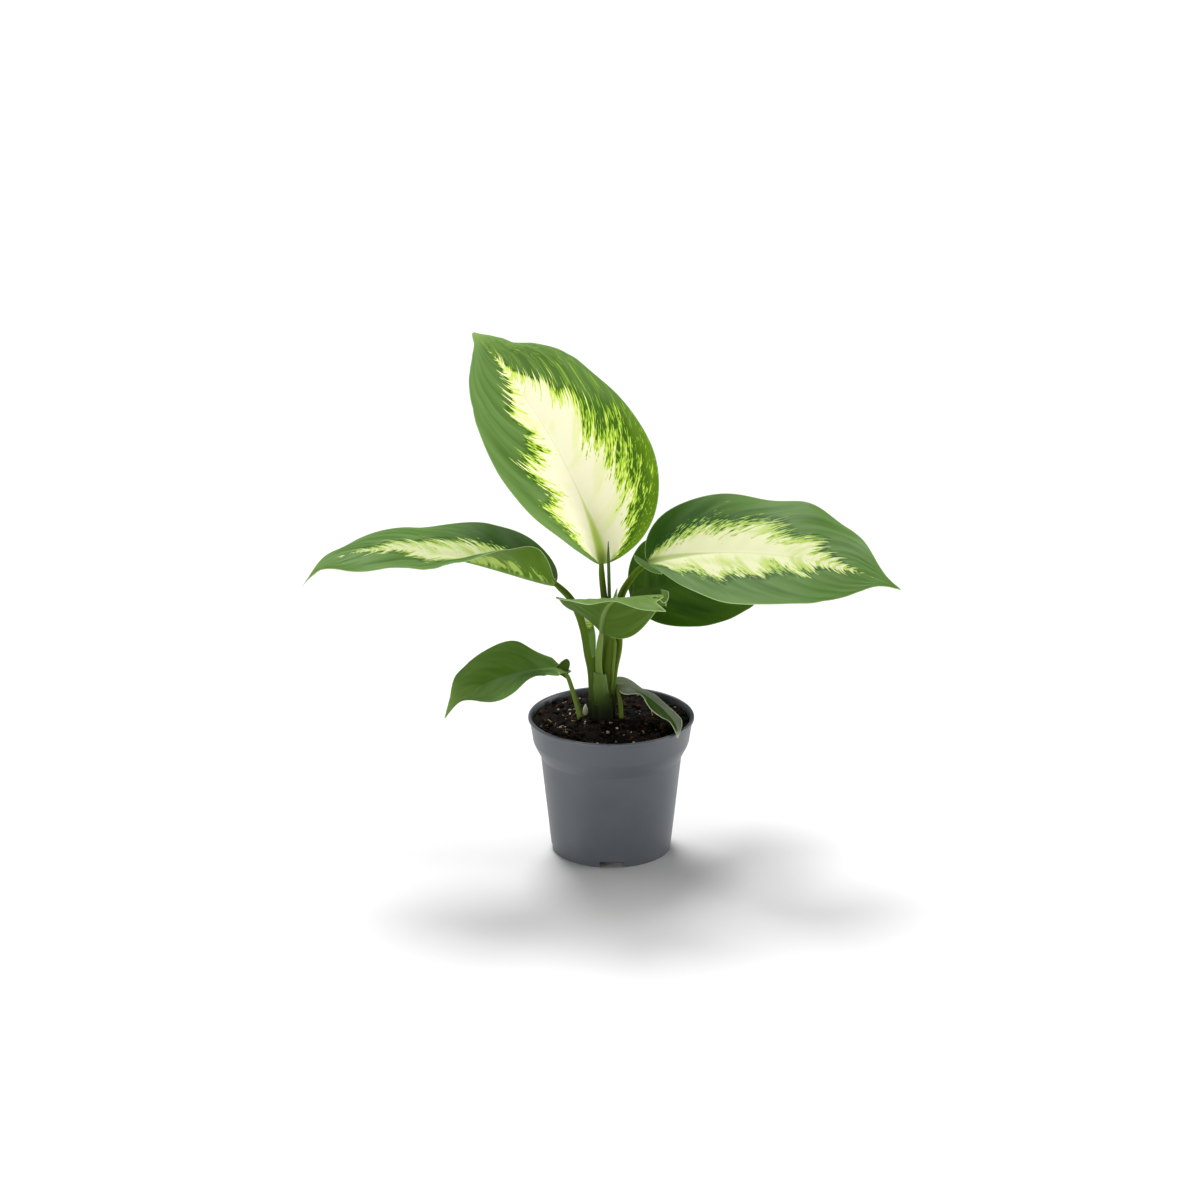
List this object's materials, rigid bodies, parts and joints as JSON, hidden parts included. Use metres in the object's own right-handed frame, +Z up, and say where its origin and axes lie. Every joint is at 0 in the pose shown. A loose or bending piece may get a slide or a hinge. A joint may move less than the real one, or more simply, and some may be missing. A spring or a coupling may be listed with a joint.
{
  "type": "potted dieffenbachia",
  "caption": "Young dieffenbachia with broad variegated leaves on sheathing stalks, growing in potting soil in a plain round plastic nursery pot.",
  "frame": {"origin": "middle of the pot's underside, on the surface that the pot stands on", "axes": "+Z up, -Y to the front, where the foreshortened leaf points, +X to the right, where the right leaf points"},
  "size_m": [0.4304, 0.2289, 0.3714],
  "materials": {
    "pot_plastic": "satin grey moulded plastic",
    "soil": "dark crumbly potting mix of peat and bark",
    "leaf_variegated": "cream heart feathering into green, soft satin gloss",
    "leaf_green": "plain green, soft satin gloss",
    "leaf_withered": "dull grey green, limp and creased",
    "stem_green": "dark green stem, satin",
    "shoot_pale": "pale yellow green young shoot"
  },
  "bodies": {
    "root": {"pot": "pot_plastic", "soil": "soil", "cane": "stem_green", "leaf_top": "leaf_variegated", "leaf_right": "leaf_variegated", "leaf_left": "leaf_variegated", "leaf_rear": "leaf_variegated", "leaf_front": "leaf_green", "leaf_low_left": "leaf_green", "leaf_low_right": "leaf_withered", "spear": "stem_green", "bud": "shoot_pale", "sprout": "shoot_pale"}
  },
  "joints": []
}
